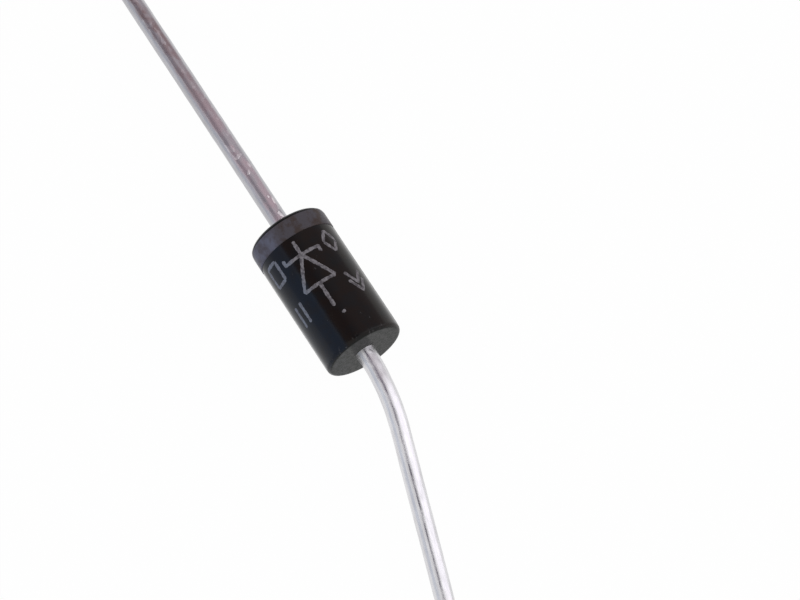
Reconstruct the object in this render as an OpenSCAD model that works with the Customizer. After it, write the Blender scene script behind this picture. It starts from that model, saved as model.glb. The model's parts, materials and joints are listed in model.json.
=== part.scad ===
// Axial power rectifier diode in a moulded case, with one lead bent by hand.
// It lies on a floor at Z = 0 as it comes to rest: on the rounded edge at the cathode end of
// its case and on the tips of both leads. The case points along X, with its banded cathode end
// at -X and a little lower than its anode end. The bent anode lead leans out towards -Y.

/* [Moulded case] */
// Diameter of the case
case_d = 5.2; // [4.8:0.1:5.6]
// Length of the case, end to end
case_l = 9.5; // [8.5:0.1:10.5]
// Radius of the rounded edge at the cathode end
cathode_edge_r = 0.4; // [0.15:0.05:0.6]
// Radius of the rounded edge at the anode end
anode_edge_r = 0.25; // [0.15:0.05:0.6]
// Height of the fine line that the two halves of the mould leave along each side
parting_h = 0.02; // [0.01:0.01:0.05]
// Width of that line
parting_w = 0.12; // [0.08:0.01:0.2]
// Turn of the mould's parting plane about the case's axis, from level
parting_turn = 12; // [-40:1:40]

/* [Cathode band] */
// Width of the printed band
band_w = 1.35; // [0.8:0.05:2.2]
// Bare case between the end face and the band
band_from_end = 0.2; // [0.1:0.05:0.8]
// Thickness of the ink
band_t = 0.02; // [0.01:0.01:0.05]

/* [Leads] */
// Diameter of the wire
lead_d = 1.2; // [1:0.05:1.3]
// Length of the collar of built-up plating round each lead at the case, from the end face
collar_l = 1; // [0.6:0.1:1]
// Thickness of the collar at the case
collar_t = 0.08; // [0.07:0.01:0.12]
// Thickness of the collar at its outer edge
collar_edge_t = 0.04; // [0.04:0.01:0.06]
// Length of the straight cathode lead outside the case
cathode_free_l = 26; // [20:0.5:40]
// Length of the anode lead outside the case, measured along the wire
anode_free_l = 26; // [20:0.5:40]
// Bevel that the cutter leaves at the tip of each lead
tip_bevel = 0.08; // [0.04:0.01:0.2]

/* [Nail heads] */
// Diameter of the head forged on the inner end of each lead
head_d = 2.9; // [2.4:0.1:3.6]
// Thickness of the head
head_t = 0.6; // [0.4:0.05:1]
// Bevel round the back of the head
head_bevel = 0.12; // [0.05:0.01:0.2]
// Diameter of the neck where the wire leaves the head
neck_d = 1.6; // [1.4:0.05:2]
// Length over which the neck tapers down to the wire
neck_l = 0.35; // [0.2:0.05:0.8]

/* [Chip] */
// Side of the square silicon chip
chip_side = 2.3; // [1.6:0.1:2.8]
// Thickness of the chip
chip_t = 0.28; // [0.2:0.01:0.4]
// Thickness of the solder that covers the whole cathode side of the chip
cathode_solder_t = 0.06; // [0.03:0.01:0.12]
// Thickness of the solder on the anode side
anode_solder_t = 0.08; // [0.03:0.01:0.12]
// Diameter of the anode solder on the chip, kept inside the edge of the junction
anode_solder_chip_d = 1.8; // [1.2:0.1:2.1]
// Diameter of the anode solder on the nail head
anode_solder_head_d = 2.1; // [1.4:0.1:2.3]

/* [Bend of the anode lead] */
// Where the bend starts, outside the end face and still within the collar
bend_from_face = 0.2; // [0.1:0.05:0.4]
// Radius of the bend, at the wire's middle
bend_r = 14.7; // [13:0.1:30]
// Angle of the bend
bend_a = 20.7; // [15:0.1:30]

/* [Hidden] */

// Faces round the case, round a wire, round a small edge, and in a full turn of a bend
case_faces = 96;
lead_faces = 48;
edge_faces = 32;
bend_faces = 240;

case_r = case_d / 2;
lead_r = lead_d / 2;
end_face = case_l / 2;

// The stack from the middle of the chip outwards: solder, then the face of the nail head
cathode_head_at = chip_t / 2 + cathode_solder_t;
anode_head_at = chip_t / 2 + anode_solder_t;

// Where the bend starts, and the straight wire beyond it
bend_at = end_face + bend_from_face;
bend_run = bend_r * sin(bend_a);
bend_side = bend_r * (1 - cos(bend_a));
straight_l = anode_free_l - bend_from_face - bend_r * bend_a * PI / 180;

// Middle of the tip's end face, along the case and to the side of its axis
tip_run = bend_at + bend_run + straight_l * cos(bend_a);
tip_side = bend_side + straight_l * sin(bend_a);

// Pitch at which the case's rounded edge, under its band, and the cathode lead's tip touch the floor
edge_to_tip = cathode_edge_r + cathode_free_l - tip_bevel;
edge_drop = case_r - cathode_edge_r - lead_r;
edge_skin_r = cathode_edge_r + band_t;
pitch = atan(edge_drop / edge_to_tip) + asin(edge_skin_r / norm([edge_drop, edge_to_tip]));
axis_h = (end_face - cathode_edge_r) * sin(pitch) + (case_r - cathode_edge_r) * cos(pitch) + edge_skin_r;

// Roll about the case's axis at which the bent lead's tip touches too, or hangs straight down
touch_run = tip_run - tip_bevel * cos(bend_a);
touch_side = tip_side - tip_bevel * sin(bend_a);
roll = asin(min(1, (axis_h + touch_run * sin(pitch) - lead_r) / (touch_side * cos(pitch))));

// Direction of the bent lead's straight stretch, in X and in Y
wire_x = cos(bend_a) * cos(pitch) + sin(bend_a) * sin(roll) * sin(pitch);
wire_y = -sin(bend_a) * cos(roll);

// The origin is on the floor, below the middle of the part's box
tip_r = lead_r - tip_bevel;
low_x = -(end_face + cathode_free_l) * cos(pitch) - tip_r * sin(pitch);
tip_x = tip_run * cos(pitch) + tip_side * sin(roll) * sin(pitch);
high_x = tip_x + tip_r * sqrt(1 - pow(wire_x, 2));
low_y = -touch_side * cos(roll) - lead_r * sqrt(1 - pow(wire_y, 2));
high_y = case_r + band_t;
axis_place = [-(low_x + high_x) / 2, -(low_y + high_y) / 2, axis_h];

// Lays what is built about the middle of the case in its place
module in_place() {
    translate(axis_place)
        rotate([0, -pitch, 0])
            children();
}

// Turns what is built along Z to lie along X
module along_x() {
    rotate([0, 90, 0])
        children();
}

// Half section of the case, grown all round by a skin: radius in X, length in Y
module case_section(skin) {
    r = case_r + skin;
    end = end_face + skin;
    cathode_r = cathode_edge_r + skin;
    anode_r = anode_edge_r + skin;
    translate([0, -end])
        square([r - cathode_r, end]);
    square([r - anode_r, end]);
    translate([0, cathode_r - end])
        square([r, 2 * end - cathode_r - anode_r]);
    translate([r - cathode_r, cathode_r - end])
        circle(r = cathode_r, $fn = edge_faces);
    translate([r - anode_r, end - anode_r])
        circle(r = anode_r, $fn = edge_faces);
}

// The outside of the case with its two parting lines, grown all round by a skin
module case_form(skin) {
    line_l = case_l - cathode_edge_r - anode_edge_r;
    line_w = parting_w + 2 * skin;
    line_reach = case_r + parting_h + skin;
    along_x()
        rotate_extrude($fn = case_faces)
            case_section(skin);
    rotate([parting_turn, 0, 0])
        translate([cathode_edge_r - end_face, -line_reach, -line_w / 2])
            cube([line_l, 2 * line_reach, line_w]);
}

// Half section of a lead: nail head, neck, wire in the case, and collar outside it
function root_section(head_at) = [
    [0, head_at],
    [head_d / 2, head_at],
    [head_d / 2, head_at + head_t - head_bevel],
    [head_d / 2 - head_bevel, head_at + head_t],
    [neck_d / 2, head_at + head_t],
    [lead_r, head_at + head_t + neck_l],
    [lead_r, end_face],
    [lead_r + collar_t, end_face],
    [lead_r + collar_edge_t, end_face + collar_l]
];

// Half section of the cut end of a wire
function tip_section(end) = [
    [lead_r, end - tip_bevel],
    [lead_r - tip_bevel, end],
    [0, end]
];

// A solid turned from a half section about X
module turned(section) {
    along_x()
        rotate_extrude($fn = lead_faces)
            polygon(section);
}

// The wire's bend in the XY plane, which ends at the origin and there points along X
module bend() {
    translate([0, bend_r, 0])
        rotate_extrude(start = -90 - bend_a, angle = bend_a, $fn = bend_faces)
            translate([bend_r, 0])
                circle(r = lead_r, $fn = lead_faces);
}

// The forms below are built about the middle of the case, and each node lays its form in place

// Tinned copper wire with a nail head, straight
module cathode_wire() {
    wire_end = end_face + cathode_free_l;
    wire_section = concat([[lead_r, end_face + collar_l]], tip_section(wire_end));
    rotate([0, 0, 180])
        turned(concat(root_section(cathode_head_at), wire_section));
}

// The same wire on the anode side, bent by hand from within its collar
module anode_wire() {
    rotate([180 + roll, 0, 0]) {
        turned(concat(root_section(anode_head_at), [[0, end_face + collar_l]]));
        translate([bend_at + bend_run, bend_side, 0])
            rotate([0, 0, bend_a]) {
                bend();
                turned(concat([[0, 0], [lead_r, 0]], tip_section(straight_l)));
            }
    }
}

// Square silicon chip, standing across the axis with its barrier side to the anode
module chip() {
    cube([chip_t, chip_side, chip_side], center = true);
}

// Solder between the whole back of the chip and the cathode's nail head
module cathode_joint() {
    translate([-cathode_head_at, -chip_side / 2, -chip_side / 2])
        cube([cathode_solder_t, chip_side, chip_side]);
}

// Round solder joint between the chip's barrier metal and the anode's nail head
module anode_joint() {
    along_x()
        translate([0, 0, chip_t / 2])
            cylinder(d1 = anode_solder_chip_d, d2 = anode_solder_head_d, h = anode_solder_t, $fn = lead_faces);
}

// Black epoxy, moulded round the finished stack so that it holds every face of it
module moulded_case() {
    color([0.1, 0.095, 0.1])
        in_place()
            difference() {
                case_form(0);
                cathode_wire();
                anode_wire();
                chip();
                cathode_joint();
                anode_joint();
            }
}

// Ring of grey ink that marks the cathode end and follows the skin of the case
module cathode_band() {
    color([0.36, 0.36, 0.4])
        in_place()
            difference() {
                intersection() {
                    case_form(band_t);
                    translate([band_from_end - end_face, -case_d, -case_d])
                        cube([band_w, 2 * case_d, 2 * case_d]);
                }
                case_form(0);
            }
}

module cathode_lead() {
    color([0.74, 0.74, 0.78])
        in_place()
            cathode_wire();
}

module anode_lead() {
    color([0.74, 0.74, 0.78])
        in_place()
            anode_wire();
}

module schottky_chip() {
    color([0.3, 0.32, 0.38])
        in_place()
            chip();
}

module cathode_solder() {
    color([0.6, 0.6, 0.62])
        in_place()
            cathode_joint();
}

module anode_solder() {
    color([0.6, 0.6, 0.62])
        in_place()
            anode_joint();
}

moulded_case();
cathode_band();
cathode_lead();
anode_lead();
schottky_chip();
cathode_solder();
anode_solder();
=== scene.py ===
"""Axial rectifier diode with one bent lead: its looks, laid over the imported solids.

Sizes are in millimetres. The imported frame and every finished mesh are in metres.
"""
import json
import math

import bpy
import mathutils
import numpy as np
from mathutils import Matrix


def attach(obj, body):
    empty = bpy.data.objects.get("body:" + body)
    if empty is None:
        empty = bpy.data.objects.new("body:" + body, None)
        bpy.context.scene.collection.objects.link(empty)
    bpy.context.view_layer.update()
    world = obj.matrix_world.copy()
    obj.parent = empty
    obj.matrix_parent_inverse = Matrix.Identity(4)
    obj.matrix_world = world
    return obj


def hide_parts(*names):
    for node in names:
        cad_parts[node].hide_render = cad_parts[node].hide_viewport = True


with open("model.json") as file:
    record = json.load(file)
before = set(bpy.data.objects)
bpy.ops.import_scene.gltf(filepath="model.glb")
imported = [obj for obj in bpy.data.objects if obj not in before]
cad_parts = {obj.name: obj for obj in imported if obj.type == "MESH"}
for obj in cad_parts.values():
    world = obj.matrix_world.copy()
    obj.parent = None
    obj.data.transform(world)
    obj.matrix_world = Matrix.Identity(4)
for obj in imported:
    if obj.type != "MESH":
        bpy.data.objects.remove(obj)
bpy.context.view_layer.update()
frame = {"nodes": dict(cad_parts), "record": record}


# The two leads: drawn copper wire with a nail head forged on its inner end, tinned all over.
# The solder and plating build up to a small collar where a wire leaves the case. The cathode
# lead is straight, and the anode lead was bent by hand from its collar on.
wire_r = 0.6
wire_free = 26.0
case_half = 4.75
collar_length = 1.0
collar_rise = 0.08
cathode_head = 0.2
anode_head = 0.22
head_r = 1.45
head_thick = 0.6
neck_r = 0.8
neck_length = 0.35
tip_bevel = 0.08
bend_start = case_half + 0.2
bend_r = 14.7
bend_angle = math.radians(20.7)
wire_columns = 96
wire_step = 0.1
bright_tin = ((0.61, 0.60, 0.62, 1.0), (0.75, 0.745, 0.76, 1.0))
aged_tin = ((0.42, 0.415, 0.435, 1.0), (0.52, 0.515, 0.54, 1.0))
tarnish = (0.50, 0.415, 0.445, 1.0)
old_tarnish = (0.28, 0.212, 0.214, 1.0)
# Painted glint colour for the dents near the case
painted_glint = (0.96, 0.93, 0.93, 1.0)

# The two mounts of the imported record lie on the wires, so they give the line of the case and
# the side to which the anode lead bends
wire_at = {m["name"]: m for m in frame["record"]["mounts"]}
axis = -np.array(wire_at["cathode_lead"]["axis"])
axis /= np.linalg.norm(axis)
middle = 1000 * np.array(wire_at["cathode_lead"]["pos_m"]) + (case_half + collar_length) * axis
bend_side = np.array(wire_at["anode_lead"]["axis"])
bend_side -= bend_side.dot(axis) * axis
bend_side /= np.linalg.norm(bend_side)
level = np.array([0.0, 1.0, 0.0])
upright = np.cross(axis, level)


def softened(corners, steps=6):
    """Profile through (along, out, rounding) corners: each corner gives way to the parabola that
    touches both its sides at the distance of its rounding."""
    corners = np.array(corners, float)
    points = [corners[:1, :2]]
    t = np.linspace(0, 1, steps + 1)[:, None]
    for before, corner, after in zip(corners[:-2], corners[1:-1], corners[2:]):
        start = before[:2] - corner[:2]
        end = after[:2] - corner[:2]
        start = corner[:2] + start * corner[2] / np.linalg.norm(start)
        end = corner[:2] + end * corner[2] / np.linalg.norm(end)
        points.append((1 - t) ** 2 * start + 2 * t * (1 - t) * corner[:2] + t ** 2 * end)
    points.append(corners[-1:, :2])
    return np.vstack(points)


def finely(profile, step):
    """The same profile with points added so that no two neighbours are further apart than step."""
    gaps = np.linalg.norm(np.diff(profile, axis=0), axis=1)
    run = np.concatenate([[0], np.cumsum(gaps)])
    counts = np.maximum(1, np.ceil(gaps / step)).astype(int)
    spans = [np.linspace(a, b, n, endpoint=False) for a, b, n in zip(run[:-1], run[1:], counts)]
    stops = np.concatenate(spans + [run[-1:]])
    return np.column_stack([np.interp(stops, run, profile[:, k]) for k in (0, 1)])


def turned(profile, around, first, second):
    """Grids of a profile turned round the case's axis, laid in place and as if X were the axis.
    A point lies along the axis, and out from it at the angle of its column."""
    along, out = profile[:, :1], profile[:, 1:]
    angle = np.linspace(0, 2 * np.pi, around, endpoint=False)
    side, up = out * np.cos(angle), out * np.sin(angle)
    laid = middle + along[..., None] * axis + side[..., None] * first + up[..., None] * second
    plain = np.stack([along + 0 * side, side, up], -1)
    return laid, plain


def bent(plain, first, second):
    """Bends a grid that was turned straight: past the start of the bend the axis runs on a circle
    until it has turned by the bend's angle, and then straight on. Rings stay square to it."""
    along = plain[..., :1]
    turn = np.clip((along - bend_start) / bend_r, 0, bend_angle)
    past = np.maximum(0, along - bend_start - bend_r * bend_angle)
    run = np.minimum(along, bend_start) + bend_r * np.sin(turn) + past * math.cos(bend_angle)
    aside = bend_r * (1 - np.cos(turn)) + past * math.sin(bend_angle)
    across = np.cos(turn) * first - np.sin(turn) * axis
    return middle + run * axis + aside * first + plain[..., 1:2] * across + plain[..., 2:] * second


def lay_mesh(name, grids, ring=False):
    """One mesh of closed grids. Each grid's columns join round it, and its rows either end in two
    single points or join up in a ring. Triangles face out: a grid of negative volume is reversed.
    The attribute "plain" keeps each point's place on the straight piece."""
    points, plains, faces, start = [], [], [], 0
    for laid, plain in grids:
        rows, columns = laid.shape[:2]
        number = np.arange(rows * columns).reshape(rows, columns)
        if ring:
            number = np.vstack([number, number[:1]])
        else:
            number[0], number[-1] = number[0, 0], number[-1, 0]
        number = np.hstack([number, number[:, :1]])
        a, b, c, d = number[:-1, :-1], number[:-1, 1:], number[1:, 1:], number[1:, :-1]
        tris = np.concatenate([np.stack(half, -1).reshape(-1, 3) for half in ((a, b, c), (a, c, d))])
        tris = tris[(tris[:, 0] != tris[:, 1]) & (tris[:, 1] != tris[:, 2]) & (tris[:, 2] != tris[:, 0])]
        flat = laid.reshape(-1, 3)
        corner = (flat - flat.mean(0))[tris]
        if np.einsum("ij,ij->", corner[:, 0], np.cross(corner[:, 1], corner[:, 2])) < 0:
            tris = tris[:, ::-1]
        used, tris = np.unique(tris, return_inverse=True)
        points.append(flat[used])
        plains.append(plain.reshape(-1, 3)[used])
        faces.append(tris.reshape(-1, 3) + start)
        start += len(used)
    mesh = bpy.data.meshes.new(name)
    mesh.from_pydata((np.vstack(points) / 1000).tolist(), [], np.vstack(faces).tolist())
    kept = mesh.attributes.new("plain", "FLOAT_VECTOR", "POINT")
    kept.data.foreach_set("vector", np.vstack(plains).astype(np.float32).ravel())
    mesh.polygons.foreach_set("use_smooth", np.ones(len(mesh.polygons), bool))
    piece = bpy.data.objects.new(name, mesh)
    bpy.context.scene.collection.objects.link(piece)
    return piece


class Shade:
    """One socket of a material. Arithmetic on it adds Math nodes, and add() adds any other node."""

    def __init__(self, tree, socket=None):
        self.tree = tree
        self.socket = socket

    def add(self, kind, settings=None, inputs=None, output=0):
        """A new node of this kind: its settings first, then the values or links of its inputs."""
        node = self.tree.nodes.new(kind)
        for name, value in (settings or {}).items():
            setattr(node, name, value)
        for name, value in (inputs or {}).items():
            if isinstance(value, Shade):
                self.tree.links.new(value.socket, node.inputs[name])
            else:
                node.inputs[name].default_value = value
        return Shade(self.tree, node.outputs[output] if len(node.outputs) else None)

    def math(self, operation, first, second=0.0):
        """A Math node on one or two values, sockets or numbers."""
        return self.add("ShaderNodeMath", {"operation": operation}, {0: first, 1: second})

    def __add__(self, other):
        return self.math("ADD", self, other)

    __radd__ = __add__

    def __sub__(self, other):
        return self.math("SUBTRACT", self, other)

    def __rsub__(self, other):
        return self.math("SUBTRACT", other, self)

    def __mul__(self, other):
        return self.math("MULTIPLY", self, other)

    __rmul__ = __mul__

    def scaled(self, x, y, z):
        """This vector with each part multiplied."""
        inputs = {0: self, 1: (x, y, z)}
        return self.add("ShaderNodeVectorMath", {"operation": "MULTIPLY"}, inputs, "Vector")

    def parts(self):
        """The X, Y and Z of this vector."""
        return [self.add("ShaderNodeSeparateXYZ", None, {"Vector": self}, k) for k in range(3)]

    def noise(self, scale, detail=3.0, rough=0.55):
        """Noise from 0 to 1 at this point, scale lumps to a unit."""
        inputs = {"Vector": self, "Scale": scale, "Detail": detail, "Roughness": rough}
        return self.add("ShaderNodeTexNoise", None, inputs, "Fac")

    def between(self, low, high, at_low=0.0, at_high=1.0):
        """This value carried smoothly from low..high to at_low..at_high, and held beyond."""
        inputs = {"Value": self, "From Min": low, "From Max": high, "To Min": at_low, "To Max": at_high}
        return self.add("ShaderNodeMapRange", {"interpolation_type": "SMOOTHSTEP"}, inputs, "Result")

    def blend(self, first, second):
        """Two colours mixed by this value."""
        inputs = {"Factor": self, "A": first, "B": second}
        return self.add("ShaderNodeMix", {"data_type": "RGBA"}, inputs, 2)

    def bump(self, height, strength):
        """The surface's normal, raised by this value times height in metres."""
        inputs = {"Height": self, "Distance": height, "Strength": strength}
        return self.add("ShaderNodeBump", None, inputs, "Normal")


def finish(name):
    """A new material with no nodes but one, which reads its points as if the piece were straight."""
    material = bpy.data.materials.new(name)
    material.use_nodes = True
    material.node_tree.nodes.clear()
    shade = Shade(material.node_tree)
    plain = shade.add("ShaderNodeAttribute", {"attribute_name": "plain"}, None, "Vector")
    return material, plain


def surface(shade, inputs):
    """Ends a material in a Principled shader."""
    shader = shade.add("ShaderNodeBsdfPrincipled", None, inputs, "BSDF")
    shade.add("ShaderNodeOutputMaterial", None, {"Surface": shader})


def tinned_finish(name, tones, film):
    """Tin on drawn wire, between two tones: fine lines along it from the die, soft lumps and, along
    its upper side, a brown film as strong as given. The film is darker far from the case, and close
    to the case are dents from pliers, painted pale as glints."""
    material, plain = finish(name)
    along, side, up = plain.parts()
    drawn = plain.scaled(0.05, 1, 1).noise(14.0, 4.0)
    patches = plain.scaled(0.35, 1, 1).noise(1.6, 3.0)
    lumps = plain.scaled(0.45, 1, 1).noise(2.4, 4.0, 0.6)
    specks = plain.scaled(0.6, 1, 1).noise(2.5, 1.0)
    colour = (drawn * 0.4 + patches * 0.3 + lumps * 0.3).between(0.38, 0.62).blend(*tones)
    flank = (up + side * 0.05).between(0.39, 0.57)
    worn = (patches * 0.4 + lumps * 0.6).between(0.39, 0.58, 0.15, 1.0)
    far = along.math("ABSOLUTE", along)
    brown = far.between(case_half + 5, case_half + 17).blend(tarnish, old_tarnish)
    colour = (flank * worn * film).blend(colour, brown)
    held = far.between(case_half + 9, case_half, 0.15, 0.8)
    # Dents from pliers near the case: bumped, and painted pale as glints
    dents_and_glints = flank * specks.between(0.61, 0.68) * held
    colour = dents_and_glints.blend(colour, painted_glint)
    rough = lumps.between(0.35, 0.68, 0.20, 0.36)
    relief = drawn * 0.06 + specks.between(0.50, 0.80) * held + dents_and_glints * film * 4.5
    surface(plain, {"Base Color": colour, "Metallic": 1.0, "Roughness": rough,
                    "Normal": relief.bump(0.00001, 0.6)})
    return material


def wire_profile(head_at):
    """Half section of a lead, from the face of its nail head to the bevelled tip."""
    tip = case_half + wire_free
    return finely(softened([
        (head_at, 0, 0), (head_at, head_r, 0.05), (head_at + head_thick, head_r, 0.15),
        (head_at + head_thick, neck_r, 0.1), (head_at + head_thick + neck_length, wire_r, 0.1),
        (case_half - 0.02, wire_r, 0), (case_half - 0.02, wire_r + collar_rise, 0),
        (case_half + 0.4, wire_r + 0.025, 0.39), (tip - 3, wire_r, 0.4),
        (tip - tip_bevel, wire_r, 0.03), (tip, wire_r - tip_bevel, 0.03), (tip, 0, 0),
    ]), wire_step)


# Each wave of the wire's skin: radians to a millimetre along it, turns round it, and its share
skin_waves = ((1.9, 2, 1.0), (0.83, -3, 1.0), (4.7, 1, 0.5), (3.1, -4, 0.5), (6.1, 3, 0.25), (8.3, -2, 0.2))
wave_depth = 0.0022


def dented(laid, plain, centre, phase):
    """The wire's skin moved inwards by the sum of waves that wind round it, each a sine of the way
    along and round. They run out at both ends, and are twice as deep where pliers held the wire."""
    far = np.abs(plain[..., 0]) - case_half
    angle = np.arctan2(plain[..., 2], plain[..., 1])
    waves = [share * (1 + np.sin(rate * (far + phase) + turns * angle)) for rate, turns, share in skin_waves]
    shown = np.clip(far - 0.2, 0, 1) * np.clip(wire_free - 0.3 - far, 0, 1)
    depth = shown * sum(waves) * wave_depth * (1 + np.exp(-far / 5))
    out = np.maximum(1e-6, np.hypot(plain[..., 1], plain[..., 2]))
    return laid - (depth / out)[..., None] * (laid - centre)


profile = wire_profile(cathode_head) * (-1, 1)
laid, plain = turned(profile, wire_columns, level, upright)
centre = middle + plain[..., :1] * axis
cathode_lead = lay_mesh("cathode_lead_wire", [(dented(laid, plain, centre, 0.4), plain)])
cathode_lead.data.materials.append(tinned_finish("aged_tin", aged_tin, 0.95))
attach(cathode_lead, "root")
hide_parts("cathode_lead")

profile = wire_profile(anode_head)
bend_axis = np.cross(axis, bend_side)
laid, plain = turned(profile, wire_columns, bend_side, bend_axis)
laid = bent(plain, bend_side, bend_axis)
centre = bent(plain * (1, 0, 0), bend_side, bend_axis)
anode_lead = lay_mesh("anode_lead_wire", [(dented(laid, plain, centre, 1.7), plain)])
anode_lead.data.materials.append(tinned_finish("bright_tin", bright_tin, 0.1))
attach(anode_lead, "root")
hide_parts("anode_lead")


# The chip and its two solder joints: a square of silicon, sawn from a wafer and soldered between
# the nail heads. The case hides them, so they keep their solids and only get their finish.
silicon = (0.10, 0.105, 0.125, 1.0)
silicon_dark = (0.06, 0.065, 0.085, 1.0)
solder = (0.42, 0.42, 0.43, 1.0)
solder_dark = (0.30, 0.30, 0.31, 1.0)


def hidden_finish(name, colour, darker, grain, roughness):
    """A metal with grains of two tones, on the solid's own points in metres."""
    material = bpy.data.materials.new(name)
    material.use_nodes = True
    material.node_tree.nodes.clear()
    place = Shade(material.node_tree).add("ShaderNodeTexCoord", None, None, "Object")
    lumps = place.noise(grain, 4.0)
    surface(place, {"Base Color": lumps.between(0.35, 0.65).blend(darker, colour), "Metallic": 1.0,
                    "Roughness": lumps.between(0.3, 0.7, roughness, roughness + 0.15),
                    "Normal": lumps.bump(0.00001, 0.4)})
    return material


sawn_silicon = hidden_finish("sawn_silicon", silicon, silicon_dark, 9000.0, 0.16)
soft_solder = hidden_finish("soft_solder", solder, solder_dark, 5000.0, 0.34)
hidden_pieces = {"schottky_chip": sawn_silicon, "cathode_solder": soft_solder, "anode_solder": soft_solder}
for node, metal in hidden_pieces.items():
    hidden = frame["nodes"][node]
    hidden.data.materials.clear()
    hidden.data.materials.append(metal)


# The case: black epoxy, moulded in two halves round the soldered stack. Its skin has a fine grain
# from the mould, its ends are duller, and the halves leave a thin line along each side.
case_r = 2.6
cathode_edge = 0.4
anode_edge = 0.25
parting_rise = 0.02
parting_wide = 0.12
parting_turn = math.radians(12)
case_columns = 288
case_step = 0.11
epoxy = (0.0062, 0.0022, 0.0008, 1.0)
epoxy_cool = (0.0032, 0.0028, 0.0032, 1.0)
# Painted bluish sheen for the case's left side, standing in for reflected light
epoxy_painted_sheen = (0.0004, 0.0044, 0.0140, 1.0)
epoxy_end = (0.0120, 0.0150, 0.0125, 1.0)
epoxy_worn = (0.085, 0.082, 0.085, 1.0)


def rounded(centre_along, centre_out, radius, start, stop, steps=10):
    """Arc of a profile about a centre, from one angle to another, both in degrees from outwards."""
    angle = np.radians(np.linspace(start, stop, steps + 1))
    return np.column_stack([centre_along + radius * np.sin(angle), centre_out + radius * np.cos(angle)])


def case_profile(skin):
    """Half section of the case from pole to pole, grown by a skin: end, rounded edge, side, edge, end."""
    return finely(np.vstack([
        [(-case_half - skin, 0)],
        rounded(cathode_edge - case_half, case_r - cathode_edge, cathode_edge + skin, -90, 0),
        rounded(case_half - anode_edge, case_r - anode_edge, anode_edge + skin, 0, 90),
        [(case_half + skin, 0)],
    ]), case_step)


def with_parting_line(laid, plain):
    """Lifts the side of the case in a low ridge along the mould's parting plane: one less the square
    of the distance from the plane, in half widths."""
    angle = np.arctan2(plain[..., 2], plain[..., 1]) - parting_turn
    off = np.abs(np.sin(angle)) * case_r / (parting_wide / 2)
    ends = np.clip((case_half - 0.25 - np.abs(plain[..., 0])) / 0.2, 0, 1)
    rise = parting_rise * np.clip(1 - off ** 2, 0, 1) * ends
    outward = laid - (middle + plain[..., :1] * axis)
    out = np.maximum(1e-6, np.hypot(plain[..., 1], plain[..., 2]))
    return laid + outward * (rise / out)[..., None]


def epoxy_finish():
    """Moulded epoxy: brown-black with cooler clouds, a painted bluish sheen on one side and scuffed
    edges. Its ends are mottled and less glossy."""
    material, plain = finish("moulded_epoxy")
    along, side, up = plain.parts()
    far = along.math("ABSOLUTE", along)
    squares = side * side + up * up
    out = squares.math("SQRT", squares)
    clouds = plain.noise(0.9, 3.0)
    grain = plain.noise(16.0, 3.0, 0.7)
    flow = plain.scaled(0.4, 1, 1).noise(3.0, 4.0)
    scuffs = plain.scaled(0.5, 1, 1).noise(4.5, 5.0, 0.65)
    mottle = plain.noise(3.6, 4.0, 0.65)

    # A painted bluish sheen down the left flank, where reflected light falls, mottled by the clouds
    sheen_side = side.between(-0.95, -1.25) * clouds.between(0.3, 0.6, 0.6, 1.0)
    edge = far.between(case_half - 0.5, case_half - 0.1) * out.between(case_r - 0.5, case_r - 0.1)
    wear = edge * scuffs.between(0.54, 0.68, 0.0, 0.6) + scuffs.between(0.66, 0.74, 0.0, 0.5) * (1 - edge)
    colour = sheen_side.blend(clouds.between(0.42, 0.66).blend(epoxy, epoxy_cool), epoxy_painted_sheen)
    relief = grain * 0.5 + flow * 0.4 + scuffs.between(0.6, 0.75) * 0.3
    normal = relief.bump(0.000012, 0.4)
    skin = plain.add("ShaderNodeBsdfPrincipled", None, {
        "Base Color": wear.blend(colour, epoxy_worn), "IOR": 1.28, "Normal": normal,
        "Roughness": grain.between(0.3, 0.7, 0.11, 0.20) + edge * 0.12 + wear * 0.2}, "BSDF")
    face = plain.add("ShaderNodeBsdfPrincipled", None, {
        "Base Color": mottle.between(0.38, 0.62).blend(epoxy_cool, epoxy_end), "IOR": 1.15,
        "Normal": normal, "Roughness": mottle.between(0.3, 0.7, 0.16, 0.30)}, "BSDF")

    # The second shader covers both end faces and, by half, the cathode end's bare rim, where its weaker
    # reflection paints a dark line of shade
    end = far.between(case_half - 0.06, case_half - 0.01)
    end = end + along.between(0.20 - case_half, 0.12 - case_half, 0.0, 0.5)
    share = end * mottle.between(0.40, 0.58, 0.62, 1.0)
    both = plain.add("ShaderNodeMixShader", None, {"Fac": share, 1: skin, 2: face})
    plain.add("ShaderNodeOutputMaterial", None, {"Surface": both})
    return material


laid, plain = turned(case_profile(0), case_columns, level, upright)
moulded_case = lay_mesh("case_body", [(with_parting_line(laid, plain), plain)])
moulded_case.data.materials.append(epoxy_finish())
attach(moulded_case, "root")
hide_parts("moulded_case")


# The cathode band: grey ink rolled on round the case close to its cathode end, thin enough for
# the case's rounded edge and parting line to show through it.
band_start = 0.2 - case_half
band_wide = 1.35
band_thick = 0.02
ink = (0.086, 0.077, 0.089, 1.0)
ink_thin = (0.064, 0.047, 0.044, 1.0)
# Painted bluish sheen for the ink's left side, standing in for reflected light
ink_painted_sheen = (0.140, 0.145, 0.200, 1.0)


def band_profile():
    """Closed section of the ink: out along the case's skin at its thickness, and back just inside it."""
    end = band_start + band_wide
    upper = case_profile(band_thick)
    upper = upper[(upper[:, 0] > band_start) & (upper[:, 0] < end)]
    lower = case_profile(-0.01)
    lower = lower[(lower[:, 0] > band_start) & (lower[:, 0] < end)][::-1]
    return np.vstack([upper, lower])


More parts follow.
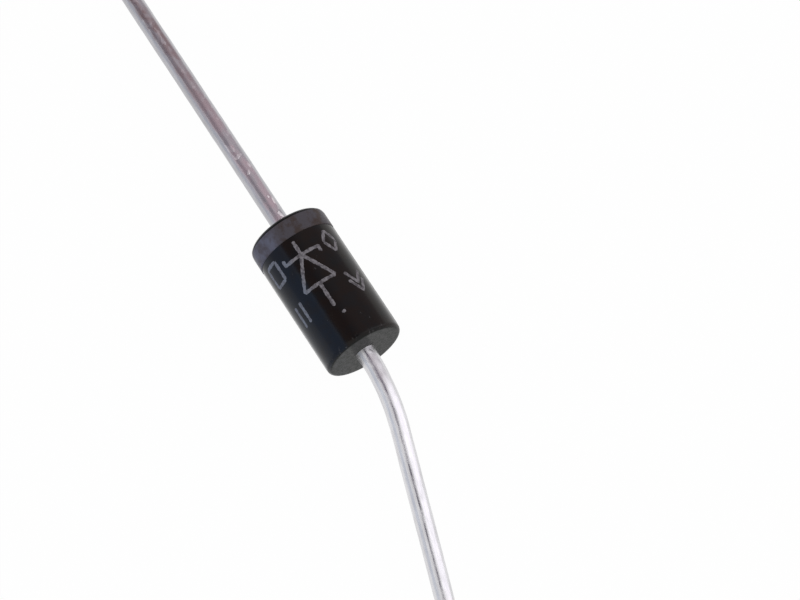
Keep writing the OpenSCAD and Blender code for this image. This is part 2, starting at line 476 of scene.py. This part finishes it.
def ink_finish(name, full, thin, sheen_colour, spread):
    """Ink on epoxy: even where it is thick, darker and browner where it has worn thin, a painted bluish
    sheen on one side, and a painted line of shade in the epoxy's colour along its edge by the end."""
    material, plain = finish(name)
    along, side = plain.parts()[:2]
    worn = plain.scaled(0.8, 1, 1).noise(spread, 5.0, 0.6)
    grain = plain.noise(16.0, 3.0, 0.7)
    colour = (worn * 0.75 + grain * 0.25).between(0.40, 0.58).blend(thin, full)
    # A painted bluish sheen on the left side, where reflected light falls
    colour = (side.between(-0.8, -1.5) * worn.between(0.35, 0.6, 0.4, 0.9)).blend(colour, sheen_colour)
    # A painted line of shade: the ink takes the dark colour of bare epoxy along its edge by the cathode end
    colour = along.between(band_start + 0.15, band_start + 0.07).blend(colour, epoxy_cool)
    rough = grain.between(0.3, 0.7, 0.22, 0.34)
    relief = grain * 0.6 + worn * 0.6
    surface(plain, {"Base Color": colour, "Roughness": rough, "IOR": 1.12,
                    "Normal": relief.bump(0.00001, 0.45)})
    return material


laid, plain = turned(band_profile(), case_columns, level, upright)
cathode_band = lay_mesh("cathode_band_ink", [(with_parting_line(laid, plain), plain)], ring=True)
cathode_band.data.materials.append(ink_finish("band_ink", ink, ink_thin, ink_painted_sheen, 1.5))
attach(cathode_band, "root")
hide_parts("cathode_band")


# The printed marks: pale ink pressed on the case in thin strokes. A plain circuit symbol points
# to the band, with a few plain shapes in two rows beside it.
mark_thick = 0.012
stroke_wide = 0.23
mark_turn = math.radians(9)
mark_ink = (0.24, 0.222, 0.238, 1.0)
mark_ink_thin = (0.10, 0.09, 0.10, 1.0)
# Painted bluish sheen for the marks' left side
mark_ink_painted_sheen = (0.19, 0.215, 0.275, 1.0)


def stroke(points):
    """A closed low ridge along a polyline on the case's skin, given as (along, round) in millimetres.
    Its section is a flat ellipse, its ends are round, and its width wavers a little."""
    points = np.array(points, float)
    gaps = np.linalg.norm(np.diff(points, axis=0), axis=1)
    run = np.concatenate([[0], np.cumsum(gaps)])
    half = stroke_wide / 2
    ease = half * (1 - np.cos(np.linspace(0, np.pi / 2, 7)))
    steps = max(2, int(run[-1] / 0.05))
    stops = np.concatenate([ease[:-1], np.linspace(half, run[-1] - half, steps), run[-1] - ease[-2::-1]])
    path = np.column_stack([np.interp(stops, run, points[:, k]) for k in (0, 1)])
    ahead = np.column_stack([np.interp(np.minimum(stops + 0.04, run[-1]), run, points[:, k]) for k in (0, 1)])
    behind = np.column_stack([np.interp(np.maximum(stops - 0.04, 0), run, points[:, k]) for k in (0, 1)])
    heading = (ahead - behind) / np.linalg.norm(ahead - behind, axis=1)[:, None]
    across = np.column_stack([-heading[:, 1], heading[:, 0]])
    from_end = np.minimum(stops, run[-1] - stops)
    width = half * np.sqrt(np.clip(1 - (1 - from_end / half).clip(0, 1) ** 2, 0, 1))
    width *= 1 + 0.10 * np.sin(9 * stops + points[0, 0]) + 0.07 * np.sin(23 * stops + points[0, 1])
    angle = np.linspace(0, 2 * np.pi, 12, endpoint=False)
    along = path[:, :1] + across[:, :1] * width[:, None] * np.cos(angle)
    round_it = path[:, 1:] + across[:, 1:] * width[:, None] * np.cos(angle)
    out = case_r + mark_thick * np.sin(angle) * (width / half)[:, None]
    turn = round_it / case_r + mark_turn
    side, up = out * -np.sin(turn), out * np.cos(turn)
    laid = middle + along[..., None] * axis + side[..., None] * level + up[..., None] * upright
    return laid, np.stack([along, side, up], -1)


def closed_shape(points):
    """Strokes from each corner to the next and back to the first."""
    return [stroke([a, b]) for a, b in zip(points, points[1:] + points[:1])]


# The symbol: two leads, the triangle, and the bar with its two hooked ends
marks = [stroke([(-2.95, 0), (-1.95, 0)]), stroke([(0.3, 0), (2.1, 0)])]
marks += closed_shape([(-1.9, 0), (0.3, 1.15), (0.3, -1.15)])
marks += [stroke([(-1.5, -1.2), (-1.5, -1.22), (-1.9, -1.22), (-1.9, 1.22), (-2.3, 1.22), (-2.3, 1.2)])]
# A rectangle and two bars on one side, a diamond and two chevrons on the other, and a dot
marks += closed_shape([(-2.7, 1.75), (-1.3, 1.75), (-1.3, 2.75), (-2.7, 2.75)])
marks += [stroke([(0.4, 1.9), (1.9, 1.9)]), stroke([(0.4, 2.5), (1.9, 2.5)])]
marks += closed_shape([(-2.8, -2.2), (-2.0, -1.7), (-1.2, -2.2), (-2.0, -2.7)])
marks += [stroke([(0.4, -1.7), (1.3, -2.3), (0.4, -2.9)]), stroke([(1.0, -1.7), (1.9, -2.3), (1.0, -2.9)])]
marks += [stroke([(2.7, -0.42), (2.7, -0.16)])]
printed_marks = lay_mesh("printed_marks", marks)
printed_marks.data.materials.append(ink_finish("mark_ink", mark_ink, mark_ink_thin, mark_ink_painted_sheen, 5.0))
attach(printed_marks, "root")


# The stage: a white floor that keeps the part's shadow, in a white room. Grey and pale cards hang
# round the part and show only in its reflections, and two large lamps light it from either side.
def white_to_the_eye(shade, shader):
    """A shader that reads as white background to a ray that sees it directly, mirrored or through
    glass, and as itself to any other ray."""
    light = "ShaderNodeLightPath"
    direct = shade.add(light, None, None, "Is Camera Ray")
    mirrored = shade.add(light, None, None, "Is Glossy Ray")
    through = shade.add(light, None, None, "Is Transmission Ray")
    seen = direct.math("MAXIMUM", direct, mirrored.math("MAXIMUM", mirrored, through))
    white = shade.add("ShaderNodeEmission", None, {"Color": (1, 1, 1, 1), "Strength": 1.0})
    return shade.add("ShaderNodeMixShader", None, {"Fac": seen * 0.98, 1: shader, 2: white})


def card(name, corners):
    """A flat shape with these corners, in metres."""
    mesh = bpy.data.meshes.new(name)
    mesh.from_pydata(corners, [], [tuple(range(len(corners)))])
    made = bpy.data.objects.new(name, mesh)
    bpy.context.scene.collection.objects.link(made)
    return made


floor = card("floor", [(-3, -3, 0), (3, -3, 0), (3, 3, 0), (-3, 3, 0)])
paper = bpy.data.materials.new("white_paper")
paper.use_nodes = True
paper.node_tree.nodes.clear()
shade = Shade(paper.node_tree)
matt = shade.add("ShaderNodeBsdfDiffuse", None, {"Color": (0.9, 0.9, 0.9, 1)})
shade.add("ShaderNodeOutputMaterial", None, {"Surface": white_to_the_eye(shade, matt)})
floor.data.materials.append(paper)


def reflected_card(name, corners, glow, far_glow=None, reach=(-1, 1)):
    """A card that only reflections show. Its glow can change over a reach, in metres along Y."""
    made = card(name, corners)
    made.visible_camera = False
    made.visible_diffuse = False
    made.visible_shadow = False
    made.visible_transmission = False
    felt = bpy.data.materials.new(name)
    felt.use_nodes = True
    felt.node_tree.nodes.clear()
    place = Shade(felt.node_tree).add("ShaderNodeTexCoord", None, None, "Object")
    colour = place.parts()[1].between(*reach).blend(glow, far_glow or glow)
    even = place.add("ShaderNodeEmission", None, {"Color": colour, "Strength": 1.0})
    place.add("ShaderNodeOutputMaterial", None, {"Surface": even})
    made.data.materials.append(felt)


def overhead(outline, height):
    """The corners of a level card at this height, from an outline as seen at a height of one."""
    return [(ceiling * x, ceiling * y, height) for x, y in outline]


def upright_card(first, second, top):
    """The corners of an upright card that stands on the floor between two points."""
    return [(*first, 0), (*second, 0), (*second, top), (*first, top)]


def facing(azimuth, elevation, distance, wide, tall):
    """The corners of a rectangle that faces the part from a direction, in degrees round and up."""
    a = math.radians(azimuth)
    e = math.radians(elevation)
    out = np.array([math.cos(a) * math.cos(e), math.sin(a) * math.cos(e), math.sin(e)])
    across = np.array([-math.sin(a), math.cos(a), 0]) * wide / 2
    up = np.array([-math.cos(a) * math.sin(e), -math.sin(a) * math.sin(e), math.cos(e)]) * tall / 2
    corners = [distance * out + i * across + j * up for i, j in ((-1, -1), (1, -1), (1, 1), (-1, 1))]
    return [tuple(corner) for corner in corners]


ceiling = 0.34
wide_outline = [(0.10, -0.30), (0.10, 0.05), (-0.12, -0.02), (-0.24, 0.25), (-0.36, 1.2), (-1.6, 1.5),
                (-1.6, -0.97), (-0.50, -0.94), (-0.40, -0.62), (-0.20, -0.36)]
narrow_outline = [(0.14, -0.27), (0.14, 0.03), (-0.16, -0.05), (-0.29, 0.0), (-0.31, -0.30), (-0.22, -0.33)]
reflected_card("overhead_card", overhead(wide_outline, ceiling),
               (0.42, 0.385, 0.43, 1), (0.72, 0.66, 0.70, 1), (-0.10, 0.13))
reflected_card("narrow_card", overhead(narrow_outline, 0.99 * ceiling), (0.10, 0.09, 0.13, 1))
reflected_card("left_card", upright_card((-0.75, -0.5), (0.2, -0.5), 0.42), (0.75, 0.785, 0.855, 1))
reflected_card("right_card", upright_card((-0.7, 0.5), (-0.1, 0.5), 0.42), (0.66, 0.62, 0.66, 1))
reflected_card("end_card", upright_card((-0.6, -0.35), (-0.6, 0.35), 0.4), (0.15, 0.14, 0.14, 1))
reflected_card("bright_card", facing(82, 37, 0.45, 0.20, 0.64), (1.52, 1.48, 1.56, 1))

world = bpy.data.worlds.new("white_room")
bpy.context.scene.world = world
world.use_nodes = True
world.node_tree.nodes.clear()
shade = Shade(world.node_tree)
room = shade.add("ShaderNodeBackground", None, {"Color": (0.97, 0.98, 1.0, 1), "Strength": 0.55})
shade.add("ShaderNodeOutputWorld", None, {"Surface": white_to_the_eye(shade, room)})


def softbox(name, azimuth, elevation, distance, wide, tall, watts, colour):
    """A lamp of this width and height that faces the part from a direction, in degrees round and up.
    It lights the part but doesn't show in its reflections."""
    lamp = bpy.data.lights.new(name, "AREA")
    lamp.shape = "RECTANGLE"
    lamp.size = wide
    lamp.size_y = tall
    lamp.energy = watts
    lamp.color = colour
    made = bpy.data.objects.new(name, lamp)
    a = math.radians(azimuth)
    e = math.radians(elevation)
    out = mathutils.Vector((math.cos(a) * math.cos(e), math.sin(a) * math.cos(e), math.sin(e)))
    made.location = distance * out
    made.rotation_euler = (math.pi / 2 - e, 0, a + math.pi / 2)
    made.visible_glossy = False
    bpy.context.scene.collection.objects.link(made)


softbox("lamp_right", 82, 40, 0.45, 0.20, 0.70, 0.56, (1.0, 0.985, 0.97))
softbox("lamp_left", 243, 35, 0.50, 0.30, 0.30, 0.30, (0.84, 0.91, 1.0))


# The camera: nearly overhead with a long lens, where the photograph was taken from.
eye = mathutils.Vector((0.063327, -0.031009, 0.219048))
looks_at = mathutils.Vector((0.0033334, 0.0060199, 0.0027327))
camera = bpy.data.objects.new("camera", bpy.data.cameras.new("camera"))
camera.data.lens = 165.4
camera.data.sensor_width = 36.0
camera.data.clip_start = 0.01
camera.location = eye
camera.rotation_euler = (eye - looks_at).to_track_quat("Z", "Y").to_euler()
bpy.context.scene.collection.objects.link(camera)
bpy.context.scene.camera = camera
bpy.context.scene.view_settings.view_transform = "Standard"
